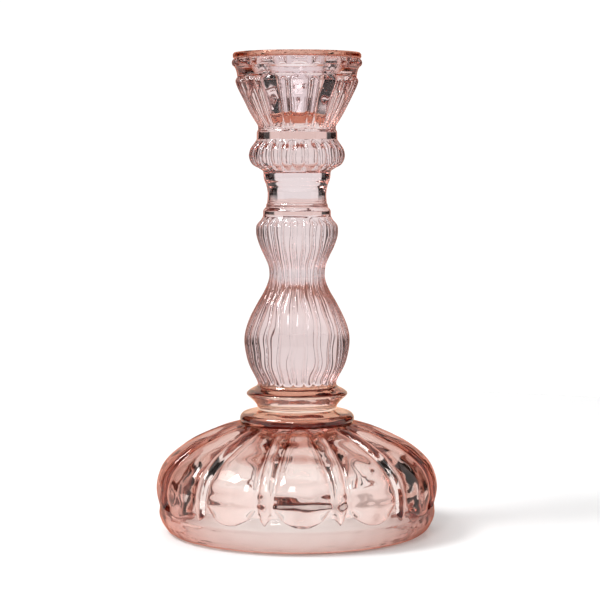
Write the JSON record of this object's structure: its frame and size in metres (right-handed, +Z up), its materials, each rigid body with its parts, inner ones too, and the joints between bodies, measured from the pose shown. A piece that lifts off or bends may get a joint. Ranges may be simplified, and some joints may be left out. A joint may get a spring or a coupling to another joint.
{
  "type": "glass candlestick",
  "caption": "Blush-pink pressed glass candlestick: flared cup with a candle socket, ribbed stem with bulbs and rings, and a hollow dome foot with lobes.",
  "frame": {"origin": "middle of the ring that the foot stands on, at the height of the table", "axes": "+Z up along the stem to the mouth of the socket; -Y is the front, where a wide lobe of the foot is centred; +X is to the right"},
  "size_m": [0.1188, 0.1188, 0.201],
  "materials": {
    "blush_glass": "clear, fire-polished, pale blush pink"
  },
  "bodies": {
    "root": {"candle_cup": "blush_glass", "cup_band": "blush_glass", "knop": "blush_glass", "neck": "blush_glass", "neck_ring": "blush_glass", "baluster": "blush_glass", "flange": "blush_glass", "foot_collar": "blush_glass", "foot_dome": "blush_glass", "foot_rim": "blush_glass"}
  },
  "joints": []
}
